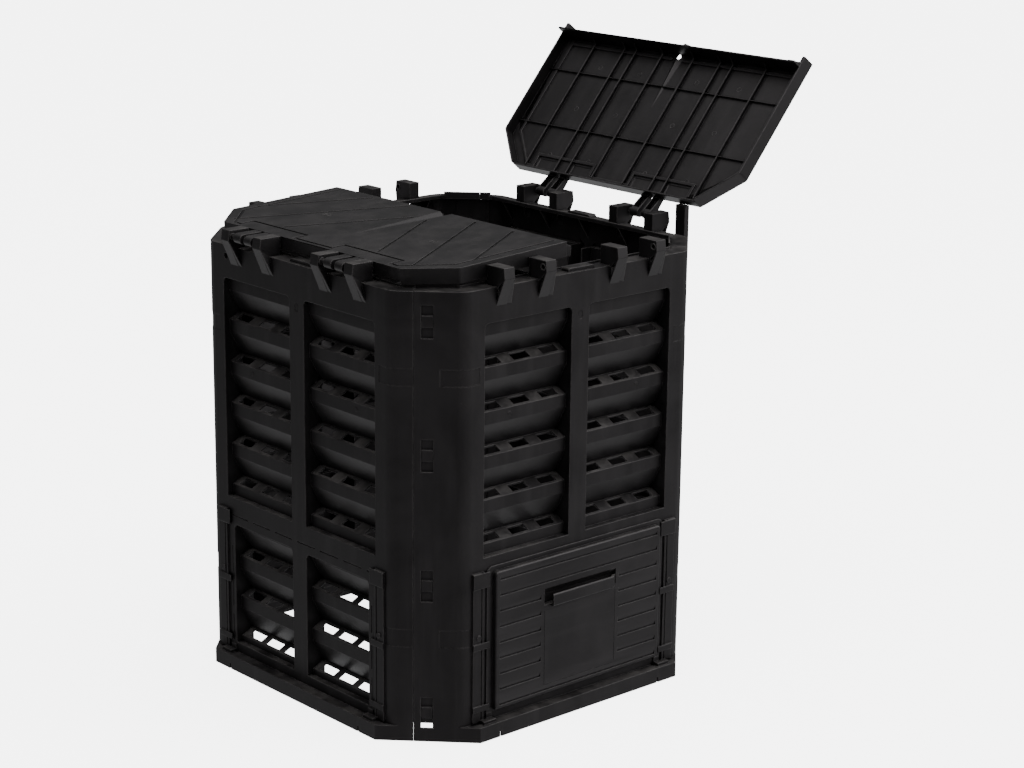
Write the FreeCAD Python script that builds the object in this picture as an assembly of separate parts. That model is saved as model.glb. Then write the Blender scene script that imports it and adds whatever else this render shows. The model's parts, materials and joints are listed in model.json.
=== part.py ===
"""Garden compost bin: four moulded wall panels locked into an eight-sided body without
a floor, two lid halves that hinge on lugs of the side walls, a hatch that slides up
at the front, and a prop that one open lid leans on.

Millimetres, +Z up. The origin is the middle of the footprint on the ground. The hatch
is in the front wall, which faces -Y. Every wall is first made as the front wall, and
is then turned about Z to its own side.
"""
import FreeCAD, Part
import math
import os

Vector = FreeCAD.Vector

# Overall sizes
BODY_WIDTH = 680.0
FOOT_STEP = 20.0
FOOT_HEIGHT = 27.5
RIM_HEIGHT = 780.0
CORNER_FACE = 123.0
WALL = 4.0
BEND_RADIUS = 35.0

# Joint between two walls, placed along the corner face from its middle
SEAM_OFFSET = -24.0
SEAM_GAP = 0.4
TONGUE_ROOT = 16.0
TONGUE_REACH = 46.0
TONGUE_THICKNESS = 3.0
TONGUE_GAP = 0.3
TONGUE_FOOT = 32.0
TONGUE_TOP_DROP = 9.0
WINDOW_WIDTH = 20.0
WINDOW_CENTRE = -1.5
WINDOW_HEIGHT = 55.0
WINDOW_COUNT = 4
LOWEST_WINDOW = 52.0
TOP_WINDOW_DROP = 50.5
HOOK_HEIGHT = 20.0
HOOK_GAP = 0.6
HOOK_SUNK = 0.6

# Shallow bands pressed into the bends
BAND_DEPTH = 0.8
BAND_HALF_WIDTH = 30.0
LOW_BAND = (170.0, 200.0)
HIGH_BAND_DROP = (158.0, 130.0)

# Rim: ledge and upstand
LEDGE_THICKNESS = 3.5
UPSTAND_THICKNESS = 3.0
UPSTAND_GAP = 2.0
UPSTAND_HEIGHT = 4.0
CORNER_UPSTAND_HEIGHT = 10.0
CORNER_UPSTAND_SETBACK = 4.0
STIFFENER_COUNT = 5
STIFFENER_THICKNESS = 3.0
STIFFENER_HEIGHT = 40.0
RIM_PAD = (-24.0, 36.0)
RIM_PAD_SETBACK = 6.0
RIM_PAD_HEIGHT = 6.0
RIM_PAD_RADIUS = 5.0

# Lugs in pairs on the rim, which hold the lid hinges
LUG_PAIR_OFFSET = 127.0
LUG_LEFT_REACH = 39.0
LUG_RIGHT_REACH = 30.0
LUG_WIDTH = 22.5
LUG_SKIN = 3.0
LUG_ABOVE_HINGE = 11.0
LUG_NOSE = 18.5
LUG_NOSE_LEAN = 2.5
LUG_GUSSET_DROP = 32.0
LUG_GUSSET_FLARE = 10.5
LUG_LID_GAP = 2.0
LUG_OPENING_MARGIN = 4.0

# Hinge
HINGE_OUT = 11.0
HINGE_RISE = 22.0
PIN_RADIUS = 4.0
PIN_CLEARANCE = 0.05
PIN_PAST_CHEEK = 1.0
BARREL_RADIUS = 9.0
PRONG_WIDTH = 20.0
PRONG_SLOT = 10.0
PRONG_DEPTH = 8.0
PRONG_SKIN = 2.5
OPEN_ANGLE = 127.0

# Lids
LID_INSET = 26.0
LID_CORNER_INSET = 24.0
LID_PLATE = 4.0
LID_LEDGE_GAP = 4.4
LID_SKIRT = 3.0
HINGE_SKIRT_RISE = 6.0
LID_EDGE_RISE = 31.4
LID_RIDGE_RISE = 48.0
LID_JOINT_OFFSET = 10.0
LID_JOINT_GAP = 1.5
LID_BENDS = 8.0
INNER_WALL_SETBACK = 21.5
INNER_WALL_DEPTH = 41.8
REST_FOOT_LENGTH = 16.0
REST_GAP = 0.3
END_BLOCK_THICKNESS = 6.5
GROOVE_WIDTH = 5.0
GROOVE_DEPTH = 2.2
BORDER_INSET = 22.0
BEAD_WIDTH = 6.0
BEAD_DEPTH = 3.5
EDGE_BEAD_SETBACK = 35.5
PAD_MARGIN = 4.5
PAD_DEPTH = 1.2
CHANNEL_NEAR = 11.0
CHANNEL_FAR = 38.0
CHANNEL_STEP_IN = 52.0
CHANNEL_STEP_OUT = 208.0
FAN_ANGLE = 30.0
GRIP_START = 102.0
GRIP_HALF_WIDTH = 16.0
GRIP_DEPTH = 9.0
GRIP_SKIN = 2.5
GRIP_HOLE_RADIUS = 5.0
GRIP_HOLE_PAST_WALL = 5.5
GUSSET_REACH = 9.0
GUSSET_DEPTH = 34.0
RIB_THICKNESS = 2.5
RIB_DEPTH = 7.0
CROSS_RIB_THICKNESS = 1.6
CROSS_RIB_DEPTH = 5.0
OUTER_RIB_PLACE = 226.0
MIDDLE_RIB_PLACE = 41.0
MIDDLE_RIB_THICKNESS = 4.0
PRONG_RIB_OFFSET = 16.0
CROSS_RIB_PLACES = (103.0, 226.0)
FAN_GROOVES = ((113.0, 296.0, 205.0), (26.0, 247.0, 307.0), (50.0, 130.0, 223.0))

# Tongue of the left lid, which closes the gap between the two lids
LIP_ROOT = 9.0
LIP_REACH = 16.0
LIP_SIDE_GAP = 7.0
LIP_THICKNESS = 3.0
LIP_SAG = 12.0
LIP_DROP = 29.0
LIP_NOTCH_MARGIN = 5.0
TOOTH_PITCH = 26.5
TOOTH_COUNT = 7
TOOTH_WIDTH = 9.0
TOOTH_LENGTH = 2.5
TOOTH_HEIGHT = 5.0

# Louvres
MIDDLE_BAR = 40.0
LOUVRE_SIDE_MARGIN = 26.5
LOUVRE_TOP_DROP = 59.0
UPPER_LOUVRE_BOTTOM = 320.0
UPPER_FIRST_DROP = 77.4
LOWER_LOUVRE_TOP = 270.0
LOWER_LOUVRE_BOTTOM = 45.0
LOWER_FIRST_DROP = 62.4
LOWER_SIDE_MARGIN = 19.0
LOUVRE_PITCH = 76.0
SHORTEST_LIP = 10.0
LOUVRE_LIP = 22.0
LIP_BACKSET = 12.0
SHELF_BACKSET = 35.0
SHELF_DROP = 11.4
LOUVRE_SKIN = 3.0
SLOTS_PER_SHELF = 3
UPPER_SLOT_BAR = 28.0
LOWER_SLOT_BAR = 14.5
LOWER_SLOT_MARGIN = 6.0
SLOT_FROM = 16.5
SLOT_TO = 31.5
SLOT_CUT = 8.0

# Hatch, its rails and the way out behind it
RAIL_WIDTH = 25.0
RAIL_BOTTOM = 30.0
RAIL_TOP_DROP = 6.0
RAIL_PROUD = 3.5
RAIL_GROOVE_PLACE = 5.0
RAIL_GROOVE_WIDTH = 2.0
RAIL_GROOVE_DEPTH = 1.5
TAB_HEIGHTS = ((49.0, 60.0), (160.0, 172.0), (269.0, 296.0))
TAB_THICKNESS = 2.4
TAB_OVERLAP = 4.6
TAB_GAP = 0.3
BUTTON_HEIGHT = 182.0
BUTTON_RADIUS = 5.0
BUTTON_PROUD = 2.0
HATCH_SIDE_GAP = 6.0
HATCH_GAP = 0.3
HATCH_BOTTOM = 42.0
HATCH_TOP = 303.0
HATCH_EDGE_THICKNESS = 2.5
HATCH_SIDE_EDGE = 13.0
HATCH_TOP_EDGE = 8.5
HATCH_BOTTOM_EDGE = 5.0
HATCH_BODY_DEPTH = 12.0
HATCH_SKIN = 3.0
HATCH_FRONT_SKIN = 4.4
HATCH_CORNER_RADIUS = 12.0
BODY_CORNER_RADIUS = 7.0
BODY_ROUNDING = 3.0
OPENING_OVERLAP = 8.0
OPENING_BOTTOM_OVERLAP = 6.0
OPENING_TOP_OVERLAP = 16.5
SHINGLE_FIRST_LINE = 278.5
SHINGLE_PITCH = 28.15
SHINGLE_COUNT = 9
WIDE_SHINGLES = (0, 1, 8)
SHINGLE_DEPTH = 2.3
SHINGLE_RISE = 9.0
SHINGLE_MARGIN = 8.5
PLAIN_MARGIN = 8.5
PLAIN_HALF_WIDTH = 83.0
PLAIN_BOTTOM = 64.0
PLAIN_TOP = 200.0
PLAIN_LINE = 0.9
PLAIN_LINE_DEPTH = 0.5
HANDLE_HALF_WIDTH = 70.5
HANDLE_TOP = 229.0
HANDLE_BOTTOM = 207.0
HANDLE_OUT = 8.7
HANDLE_THICKNESS = 3.3
HANDLE_TAPER = 13.0
HANDLE_ROUNDING = 2.5
WELL_HALF_WIDTH = 84.0
WELL_TOP = 241.0
WELL_SCOOP = 14.0
SEAT_WIDTH = 13.0
SEAT_BLOCK_WIDTH = 27.0
SEAT_BLOCK_HEIGHT = 5.5
SEAT_BLOCK_DEPTH = 14.0
SEAT_GAP = 0.3

# Scored outline of the panel that can be cut out of the other three walls
SCORE_MARGIN = 3.0
SCORE_DASH = 50.0
SCORE_STEP = 65.0
SCORE_WIDTH = 2.0
SCORE_DEPTH = 1.5

# Small marks
FOOT_NOTCH_PLACE = 187.0
FOOT_NOTCH_WIDTH = 3.0
FOOT_NOTCH_HEIGHT = 10.0
GATE_MARK_RADIUS = 4.0
GATE_MARK_PROUD = 0.8
LIP_MARK_PLACE = 147.0
BAR_MARK_DROP = 75.0
BAR_MARK_WIDTH = 9.0
BAR_MARK_HEIGHT = 15.0
BAR_MARK_DEPTH = 0.6
OPENING_RADIUS = 8.0

# Lid prop
PROP_LUG_GAP = 2.5
PROP_WIDTH = 24.0
PROP_DEPTH = 11.0
PROP_SKIN = 3.0
PROP_ARM = 4.0
PROP_FOOT_DROP = 52.0
PROP_PEG_WIDTH = 9.0
PROP_PEG_DROP = 20.0
PROP_HOOK = 3.0
PROP_HOOK_DROP = 5.0
PROP_EDGE_MARGIN = 1.7
PROP_GAP = 0.3

# Working values: the least radius that is drawn as an arc, and how far a cutter runs past
SHARP_RADIUS = 0.5
SKIM = 0.01

# Places that follow from the sizes above
BODY_HALF = BODY_WIDTH / 2
FOOT_HALF = BODY_HALF + FOOT_STEP
CORNER_DISTANCE = BODY_HALF * math.sqrt(2) - CORNER_FACE / 2
BEND_VERTEX = CORNER_DISTANCE * math.sqrt(2) - BODY_HALF
FLAT_HALF = BEND_VERTEX - BEND_RADIUS * math.tan(math.radians(22.5))
LID_HALF = BODY_HALF - LID_INSET
LID_CORNER_DISTANCE = CORNER_DISTANCE - LID_CORNER_INSET
LUG_REAR = LID_HALF + LUG_LID_GAP
UPSTAND_INSET = BODY_HALF - (LID_HALF - LID_SKIRT - UPSTAND_GAP)
HINGE_X = BODY_HALF + HINGE_OUT
HINGE_Z = RIM_HEIGHT + HINGE_RISE
LUG_TOP = HINGE_Z + LUG_ABOVE_HINGE
LOUVRE_SIDE = FLAT_HALF - LOUVRE_SIDE_MARGIN
RAIL_INNER = LOUVRE_SIDE
HATCH_HALF = RAIL_INNER - HATCH_SIDE_GAP
OPENING_HALF = HATCH_HALF - OPENING_OVERLAP
OPENING_BOTTOM = HATCH_BOTTOM + OPENING_BOTTOM_OVERLAP
OPENING_TOP = HATCH_TOP - OPENING_TOP_OVERLAP
SCORE_HALF_WIDTH = OPENING_HALF + SCORE_MARGIN
RAIL_TOP = HATCH_TOP - RAIL_TOP_DROP
TAB_BACK = HATCH_GAP + HATCH_EDGE_THICKNESS + TAB_GAP
TAB_PROUD = TAB_BACK + TAB_THICKNESS
LID_SLOPE = math.atan((LID_RIDGE_RISE - LID_EDGE_RISE) / LID_HALF)
LID_EDGE_HEIGHT = RIM_HEIGHT + LID_EDGE_RISE
LID_SKIRT_DEPTH = LID_EDGE_RISE - LID_LEDGE_GAP
SLOPE_DROP = LOUVRE_PITCH - LOUVRE_LIP - SHELF_DROP
PROP_PLACE = LUG_PAIR_OFFSET + LUG_LEFT_REACH + LUG_WIDTH + PROP_LUG_GAP + PROP_WIDTH / 2


def box(x0, x1, y0, y1, z0, z1):
    return Part.makeBox(x1 - x0, y1 - y0, z1 - z0, Vector(x0, y0, z0))


def polygon_face(points):
    return Part.Face(Part.makePolygon(points + [points[0]]))


def prism_along_z(points, z0, z1):
    face = polygon_face([Vector(x, y, z0) for x, y in points])
    return face.extrude(Vector(0, 0, z1 - z0))


def prism_along_x(points, x0, x1):
    face = polygon_face([Vector(x0, y, z) for y, z in points])
    return face.extrude(Vector(x1 - x0, 0, 0))


def prism_along_y(points, y0, y1):
    face = polygon_face([Vector(x, y0, z) for x, z in points])
    return face.extrude(Vector(0, y1 - y0, 0))


def fuse(shapes):
    if len(shapes) == 1:
        return shapes[0]
    return shapes[0].multiFuse(shapes[1:])


def cut(shape, tools):
    return shape.cut(fuse(tools)) if tools else shape


def turned(shape, angle, centre=Vector(0, 0, 0), axis=Vector(0, 0, 1)):
    copy = shape.copy()
    copy.rotate(centre, axis, angle)
    return copy


def mirrored_pair(shape, normal):
    return [shape, shape.mirror(Vector(0, 0, 0), normal)]


def span(side, near, far):
    """The two distances on one side of the middle, as a low and a high place."""
    return sorted((side * near, side * far))


def tetrahedron(a, b, c, d):
    faces = [polygon_face(list(corners)) for corners in ((a, b, c), (a, c, d), (a, d, b), (b, d, c))]
    return Part.makeSolid(Part.makeShell(faces))


def arched_plate(x0, x1, z0, z1, y0, y1, radius):
    """An upright plate with its two top corners rounded."""
    shapes = [box(x0, x1, y0, y1, z0, z1 - radius), box(x0 + radius, x1 - radius, y0, y1, z0, z1)]
    for x in (x0 + radius, x1 - radius):
        shapes.append(Part.makeCylinder(radius, y1 - y0, Vector(x, y0, z1 - radius), Vector(0, 1, 0)))
    return fuse(shapes)


def chain_edges(points, radii):
    """Straight edges through the points, with an arc of its own radius at each inner point."""
    edges = []
    start = points[0]
    for before, corner, after, radius in zip(points, points[1:], points[2:], radii):
        way_in = (corner - before).normalize()
        way_out = (after - corner).normalize()
        half_turn = way_in.getAngle(way_out) / 2
        if radius < SHARP_RADIUS:
            edges.append(Part.LineSegment(start, corner).toShape())
            start = corner
            continue
        reach = radius * math.tan(half_turn)
        inward = (way_out - way_in).normalize()
        centre = corner + inward * (radius / math.cos(half_turn))
        arc_start = corner - way_in * reach
        arc_end = corner + way_out * reach
        edges.append(Part.LineSegment(start, arc_start).toShape())
        edges.append(Part.Arc(arc_start, centre - inward * radius, arc_end).toShape())
        start = arc_end
    edges.append(Part.LineSegment(start, points[-1]).toShape())
    return edges


def offset_line(points, distance):
    """The same open line moved to its left by a distance, with mitred corners."""
    moved = []
    for index, (x, y) in enumerate(points):
        normals = []
        for first, second in ((index - 1, index), (index, index + 1)):
            if first < 0 or second >= len(points):
                continue
            run = points[second][0] - points[first][0]
            rise = points[second][1] - points[first][1]
            length = math.hypot(run, rise)
            normals.append((-rise / length, run / length))
        nx = sum(n[0] for n in normals) / len(normals)
        ny = sum(n[1] for n in normals) / len(normals)
        scale = distance / (nx * nx + ny * ny)
        moved.append((x + nx * scale, y + ny * scale))
    return moved


# Wall panels

def corner_point(side, depth, along):
    """A point on a corner face of the front wall: side -1 is its left end, 1 its right.

    Depth is measured inwards, and along runs to the right as seen from outside.
    """
    reach = (CORNER_DISTANCE - depth) / math.sqrt(2)
    step = along / math.sqrt(2)
    return Vector(side * reach + step, -reach + side * step, 0)


def wall_chain(depth, left_along, right_along, face=BODY_HALF):
    """Plan of a wall at a depth: corner face, front face, corner face."""
    front = face - depth
    vertex = (CORNER_DISTANCE - depth) * math.sqrt(2) - front
    return [corner_point(-1, depth, left_along), Vector(-vertex, -front, 0),
            Vector(vertex, -front, 0), corner_point(1, depth, right_along)]


def wall_strip(outer_depth, inner_depth, z0, z1, face=BODY_HALF, radius=BEND_RADIUS):
    """The part of a wall between two depths and two heights, from seam to seam."""
    left = SEAM_OFFSET + SEAM_GAP / 2
    right = SEAM_OFFSET - SEAM_GAP / 2
    outer = wall_chain(outer_depth, left, right, face)
    inner = wall_chain(inner_depth, left, right, face)
    edges = chain_edges(outer, [radius - outer_depth] * 2)
    edges.append(Part.LineSegment(outer[-1], inner[-1]).toShape())
    edges += chain_edges(inner, [radius - inner_depth] * 2)
    edges.append(Part.LineSegment(inner[0], outer[0]).toShape())
    wire = Part.Wire(Part.__sortEdges__(edges))
    wire.translate(Vector(0, 0, z0))
    return Part.Face(wire).extrude(Vector(0, 0, z1 - z0))


def corner_block(side, outer_depth, inner_depth, from_along, to_along, z0, z1):
    """A block on a corner face, between two depths and two places along the face."""
    points = [corner_point(side, outer_depth, from_along), corner_point(side, outer_depth, to_along),
              corner_point(side, inner_depth, to_along), corner_point(side, inner_depth, from_along)]
    return prism_along_z([(p.x, p.y) for p in points], z0, z1)


def window_centres():
    highest = RIM_HEIGHT - TOP_WINDOW_DROP
    step = (highest - LOWEST_WINDOW) / (WINDOW_COUNT - 1)
    return [LOWEST_WINDOW + step * index for index in range(WINDOW_COUNT)]


def seam_windows():
    """Windows in the left corner face, where the hooks of the next wall show."""
    from_along = WINDOW_CENTRE - WINDOW_WIDTH / 2
    to_along = WINDOW_CENTRE + WINDOW_WIDTH / 2
    return [corner_block(-1, -1, WALL + 1, from_along, to_along,
                         z - WINDOW_HEIGHT / 2, z + WINDOW_HEIGHT / 2) for z in window_centres()]


def seam_tongue():
    """Tongue behind the right seam, with a hook for each window of the next wall."""
    top = RIM_HEIGHT - TONGUE_TOP_DROP
    back = WALL + TONGUE_GAP + TONGUE_THICKNESS
    root_start = SEAM_OFFSET - TONGUE_ROOT
    root_end = SEAM_OFFSET - SEAM_GAP / 2
    shapes = [corner_block(1, WALL, back, root_start, root_end, TONGUE_FOOT, top),
              corner_block(1, WALL + TONGUE_GAP, back, root_start, SEAM_OFFSET + TONGUE_REACH,
                           TONGUE_FOOT, top)]
    hook_from = WINDOW_CENTRE - WINDOW_WIDTH / 2 + HOOK_GAP
    hook_to = WINDOW_CENTRE + WINDOW_WIDTH / 2 - HOOK_GAP
    for z in window_centres():
        shapes.append(corner_block(1, HOOK_SUNK, back, hook_from, hook_to,
                                   z - HOOK_HEIGHT / 2, z + HOOK_HEIGHT / 2))
    return shapes


def bend_bands():
    """Cutters for the shallow bands that wrap the two bends."""
    high_band = (RIM_HEIGHT - HIGH_BAND_DROP[0], RIM_HEIGHT - HIGH_BAND_DROP[1])
    cutters = []
    for z0, z1 in (LOW_BAND, high_band):
        ring = wall_strip(-1, BAND_DEPTH, z0, z1)
        for side in (-1, 1):
            middle = side * BEND_VERTEX
            near = box(middle - BAND_HALF_WIDTH, middle + BAND_HALF_WIDTH,
                       -BODY_HALF - 1, -BODY_HALF + BAND_HALF_WIDTH, z0, z1)
            cutters.append(ring.common(near))
    return cutters


def foot():
    """Foot flange: an upright skin a step outside the wall, and the shelf that joins them."""
    shelf_bottom = FOOT_HEIGHT - WALL
    skin = wall_strip(0, WALL, 0, FOOT_HEIGHT, face=FOOT_HALF, radius=0)
    outer = CORNER_DISTANCE * math.sqrt(2)
    inner_y = BODY_HALF - WALL
    shelf = prism_along_z([(-(outer - FOOT_HALF), -FOOT_HALF), (outer - FOOT_HALF, -FOOT_HALF),
                           (outer - inner_y, -inner_y), (-(outer - inner_y), -inner_y)],
                          shelf_bottom, FOOT_HEIGHT)
    notches = [box(side * FOOT_NOTCH_PLACE - FOOT_NOTCH_WIDTH / 2,
                   side * FOOT_NOTCH_PLACE + FOOT_NOTCH_WIDTH / 2,
                   -FOOT_HALF - 1, -FOOT_HALF + WALL + 1, -1, FOOT_NOTCH_HEIGHT)
               for side in (-1, 1)]
    return fuse([cut(skin, notches), shelf])


def rim():
    """Ledge, low upstand, and the higher upstand over each corner."""
    ledge = wall_strip(0, UPSTAND_INSET + UPSTAND_THICKNESS, RIM_HEIGHT - LEDGE_THICKNESS, RIM_HEIGHT)
    inner = UPSTAND_INSET + UPSTAND_THICKNESS
    low = wall_strip(UPSTAND_INSET, inner, RIM_HEIGHT - LEDGE_THICKNESS, RIM_HEIGHT + UPSTAND_HEIGHT)
    high = wall_strip(UPSTAND_INSET, inner, RIM_HEIGHT - LEDGE_THICKNESS,
                      RIM_HEIGHT + CORNER_UPSTAND_HEIGHT)
    reach = FLAT_HALF + CORNER_UPSTAND_SETBACK
    middle = box(-reach, reach, -BODY_HALF, 0, RIM_HEIGHT, RIM_HEIGHT + CORNER_UPSTAND_HEIGHT + 1)
    return fuse([ledge, low, high.cut(middle)])


def rim_stiffeners():
    """Upright ribs under the ledge, on the inside of the wall."""
    spacing = 2 * LOUVRE_SIDE / (STIFFENER_COUNT - 1)
    top = RIM_HEIGHT - LEDGE_THICKNESS
    inner = BODY_HALF - UPSTAND_INSET
    ribs = []
    for index in range(STIFFENER_COUNT):
        x = -LOUVRE_SIDE + index * spacing
        profile = [(-BODY_HALF + WALL, top), (-inner, top), (-BODY_HALF + WALL, top - STIFFENER_HEIGHT)]
        ribs.append(prism_along_x(profile, x - STIFFENER_THICKNESS / 2, x + STIFFENER_THICKNESS / 2))
    return ribs


def rim_pad():
    """Low raised pad on the ledge between the two pairs of lugs."""
    x0, x1 = RIM_PAD
    top = RIM_HEIGHT + RIM_PAD_HEIGHT
    y0 = -BODY_HALF + RIM_PAD_SETBACK
    return arched_plate(x0, x1, RIM_HEIGHT - 1, top, y0, -LUG_REAR, RIM_PAD_RADIUS)


def lug_spans():
    """Left and right limits of the four lugs, and which of their cheeks carries a pin hole."""
    spans = []
    for centre in (-LUG_PAIR_OFFSET, LUG_PAIR_OFFSET):
        left = centre - LUG_LEFT_REACH
        right = centre + LUG_RIGHT_REACH
        spans += [(left - LUG_WIDTH, left, 1), (right, right + LUG_WIDTH, -1)]
    return spans


def lug(x0, x1, hole_side):
    """Hollow lug: top, nose, sloping gusset, rear and two cheeks, open below the rim."""
    face = -BODY_HALF
    nose = -FOOT_HALF
    nose_bottom = LUG_TOP - LUG_NOSE
    gusset_bottom = RIM_HEIGHT - LUG_GUSSET_DROP
    brow = nose + LUG_NOSE_LEAN
    top = box(x0, x1, brow, -LUG_REAR, LUG_TOP - LUG_SKIN, LUG_TOP)
    rear = box(x0, x1, -LUG_REAR - LUG_SKIN, -LUG_REAR, RIM_HEIGHT - LEDGE_THICKNESS, LUG_TOP)
    skin = prism_along_x([(brow, LUG_TOP), (nose, nose_bottom), (face, gusset_bottom),
                          (face + WALL, gusset_bottom), (nose + LUG_SKIN, nose_bottom + LUG_SKIN),
                          (brow + LUG_SKIN, LUG_TOP)], x0, x1)
    edge = x1 - SKIM
    flare = tetrahedron(Vector(edge, nose, nose_bottom), Vector(x1 + LUG_GUSSET_FLARE, face, gusset_bottom),
                        Vector(edge, face + 1, RIM_HEIGHT), Vector(edge, face + 1, gusset_bottom))
    cheek_profile = [(brow, LUG_TOP), (nose, nose_bottom), (face, RIM_HEIGHT - LEDGE_THICKNESS),
                     (-LUG_REAR, RIM_HEIGHT - LEDGE_THICKNESS), (-LUG_REAR, LUG_TOP)]
    cheeks = [prism_along_x(cheek_profile, x0, x0 + LUG_SKIN),
              prism_along_x(cheek_profile, x1 - LUG_SKIN, x1)]
    body = fuse([top, rear, skin, flare] + cheeks)
    hole_x = x1 - LUG_SKIN - 1 if hole_side > 0 else x0 - 1
    hole = Part.makeCylinder(PIN_RADIUS + PIN_CLEARANCE, LUG_SKIN + 2,
                             Vector(hole_x, -HINGE_X, HINGE_Z), Vector(1, 0, 0))
    return body.cut(hole)


def lug_openings():
    """Openings in the wall behind the gussets."""
    return [box(x0 + LUG_SKIN, x1 - LUG_SKIN, -BODY_HALF - 1, -BODY_HALF + WALL + 1,
                RIM_HEIGHT - LUG_GUSSET_DROP + LUG_OPENING_MARGIN, RIM_HEIGHT - LEDGE_THICKNESS)
            for x0, x1, _ in lug_spans()]


def louvre_lips(top, bottom, first_drop):
    """Heights of the lip tops, one pitch apart, as many as the opening has room for."""
    count = int((top - bottom - first_drop - SHORTEST_LIP) / LOUVRE_PITCH + 0.01) + 1
    return [top - first_drop - LOUVRE_PITCH * index for index in range(count)]


def louvre_line(top, bottom, first_drop):
    """Outer line of the louvre in depth and height, from the top down."""
    line = [(LIP_BACKSET, top)]
    lips = louvre_lips(top, bottom, first_drop)
    for index, lip in enumerate(lips):
        line.append((LIP_BACKSET, lip + SHELF_DROP + SLOPE_DROP))
        line.append((SHELF_BACKSET, lip + SHELF_DROP))
        line.append((LIP_BACKSET, lip))
    line.append((LIP_BACKSET, bottom))
    return line


def louvre_column(x0, x1, top, bottom, first_drop, slot_bar, slot_margin):
    """One column of louvres: folded skin, cheeks, roof and floor, less the slots."""
    line = louvre_line(top, bottom, first_drop)
    outline = line + list(reversed(offset_line(line, LOUVRE_SKIN)))
    profile = [(-BODY_HALF + depth, z) for depth, z in outline]
    shapes = [prism_along_x(profile, x0 - LOUVRE_SKIN, x1 + LOUVRE_SKIN)]
    deep = -BODY_HALF + SHELF_BACKSET + LOUVRE_SKIN
    for cheek in (x0 - LOUVRE_SKIN, x1):
        shapes.append(box(cheek, cheek + LOUVRE_SKIN, -BODY_HALF + 1, deep,
                          bottom - LOUVRE_SKIN, top + LOUVRE_SKIN))
    shallow = -BODY_HALF + LIP_BACKSET + LOUVRE_SKIN
    for z in (top, bottom - LOUVRE_SKIN):
        shapes.append(box(x0 - LOUVRE_SKIN, x1 + LOUVRE_SKIN, -BODY_HALF + 1, shallow,
                          z, z + LOUVRE_SKIN))
    slots = []
    pitch = (x1 - x0 - 2 * slot_margin) / SLOTS_PER_SHELF
    for lip in louvre_lips(top, bottom, first_drop):
        for index in range(SLOTS_PER_SHELF):
            middle = x0 + slot_margin + pitch * (index + 0.5)
            half = (pitch - slot_bar) / 2
            slots.append(box(middle - half, middle + half, -BODY_HALF + SLOT_FROM,
                             -BODY_HALF + SLOT_TO, lip - SLOT_CUT, lip + SHELF_DROP))
    return fuse(shapes).cut(fuse(slots))


def gate_mark(x, y, z, radius=GATE_MARK_RADIUS, proud=GATE_MARK_PROUD):
    return Part.makeCylinder(radius, proud + 1, Vector(x, y + 1, z), Vector(0, -1, 0))


def lip_marks():
    """A round mark on the second lip of each upper column."""
    second = louvre_lips(RIM_HEIGHT - LOUVRE_TOP_DROP, UPPER_LOUVRE_BOTTOM, UPPER_FIRST_DROP)[1]
    return [gate_mark(side * LIP_MARK_PLACE, -BODY_HALF + LIP_BACKSET, second - LOUVRE_LIP / 2)
            for side in (-1, 1)]


def bar_mark():
    """Cutter for the shallow oval at the top of the bar between the columns."""
    radius = BAR_MARK_WIDTH / 2
    middle = RIM_HEIGHT - BAR_MARK_DROP
    straight = BAR_MARK_HEIGHT / 2 - radius
    y0 = -BODY_HALF - 1
    y1 = -BODY_HALF + BAR_MARK_DEPTH
    discs = [Part.makeCylinder(radius, y1 - y0, Vector(0, y0, middle + side * straight), Vector(0, 1, 0))
             for side in (-1, 1)]
    return fuse(discs + [box(-radius, radius, y0, y1, middle - straight, middle + straight)])


def rails():
    """The two upright rails beside the hatch, with their tabs and round buttons."""
    shapes = []
    outer = RAIL_INNER + RAIL_WIDTH
    front = -BODY_HALF - RAIL_PROUD
    tab_front = -BODY_HALF - TAB_PROUD
    tab_back = -BODY_HALF - TAB_BACK
    for side in (-1, 1):
        strip_box = box(*span(side, RAIL_INNER, outer), front, -BODY_HALF + 1, RAIL_BOTTOM, RAIL_TOP)
        groove = RAIL_INNER + RAIL_GROOVE_PLACE
        shapes.append(strip_box.cut(box(*span(side, groove, groove + RAIL_GROOVE_WIDTH), front - 1,
                                        front + RAIL_GROOVE_DEPTH, RAIL_BOTTOM - 1, RAIL_TOP + 1)))
        for z0, z1 in TAB_HEIGHTS:
            shapes.append(box(*span(side, RAIL_INNER, outer), tab_front, -BODY_HALF + 1, z0, z1))
            shapes.append(box(*span(side, HATCH_HALF - TAB_OVERLAP, RAIL_INNER),
                              tab_front, tab_back, z0, z1))
        middle = side * (RAIL_INNER + RAIL_WIDTH / 2)
        shapes.append(gate_mark(middle, front, BUTTON_HEIGHT, BUTTON_RADIUS, BUTTON_PROUD))
    return shapes


def seat_blocks():
    """Low blocks on the foot, and the narrow seats behind them that the hatch stands on."""
    near = HATCH_HALF - SEAT_WIDTH
    back = -BODY_HALF + 1
    edge_front = -BODY_HALF - HATCH_GAP - HATCH_EDGE_THICKNESS
    blocks = []
    for side in (-1, 1):
        blocks.append(box(*span(side, near, near + SEAT_BLOCK_WIDTH), -BODY_HALF - SEAT_BLOCK_DEPTH,
                          back, FOOT_HEIGHT - 1, FOOT_HEIGHT + SEAT_BLOCK_HEIGHT))
        blocks.append(box(*span(side, near, HATCH_HALF), edge_front, back,
                          FOOT_HEIGHT, HATCH_BOTTOM - SEAT_GAP))
    return blocks


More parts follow.
